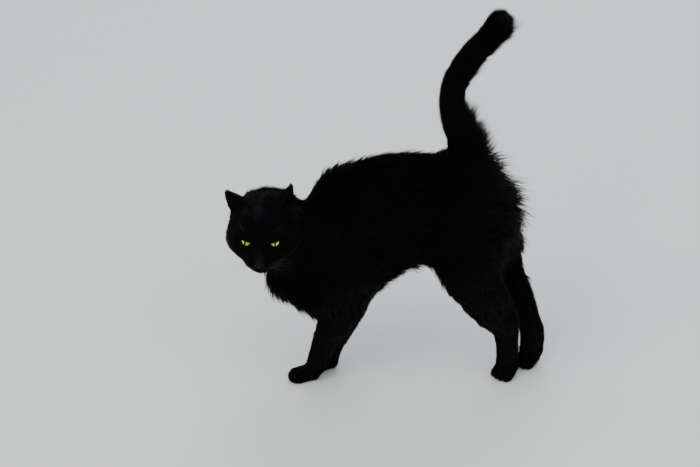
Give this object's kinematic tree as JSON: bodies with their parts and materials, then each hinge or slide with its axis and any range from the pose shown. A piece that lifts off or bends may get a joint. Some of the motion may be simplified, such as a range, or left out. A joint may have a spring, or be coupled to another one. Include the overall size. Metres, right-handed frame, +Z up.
{
  "type": "cat",
  "caption": "Life-size still model of a black domestic cat, standing with arched back, raised tail and its head turned to its left.",
  "frame": {"origin": "middle of the model's footprint box, on the floor under the paws", "axes": "+Z up; the chest is towards -X and the tail towards +X; the cat's left side is towards -Y"},
  "size_m": [0.4146, 0.1772, 0.5128],
  "materials": {
    "coat": "medium-long near-black fur with a faint cool sheen",
    "eye": "wet, clear cornea over a yellow-green iris with a narrow black slit pupil",
    "leather": "bare black nose leather and paw pads, slightly moist and finely pebbled"
  },
  "bodies": {
    "root": {"eye_right": "eye", "eye_left": "eye", "nose": "leather", "face": "coat", "head": "coat", "ear_left": "coat", "ear_right": "coat", "neck": "coat", "chest": "coat", "belly": "coat", "rump": "coat", "tail_1": "coat", "tail_2": "coat", "tail_3": "coat", "tail_4": "coat", "arm_left": "coat", "forearm_left": "coat", "forepaw_left": "coat", "arm_right": "coat", "forearm_right": "coat", "forepaw_right": "coat", "thigh_left": "coat", "shank_left": "coat", "hindpaw_left": "coat", "thigh_right": "coat", "shank_right": "coat", "hindpaw_right": "coat"}
  },
  "joints": []
}
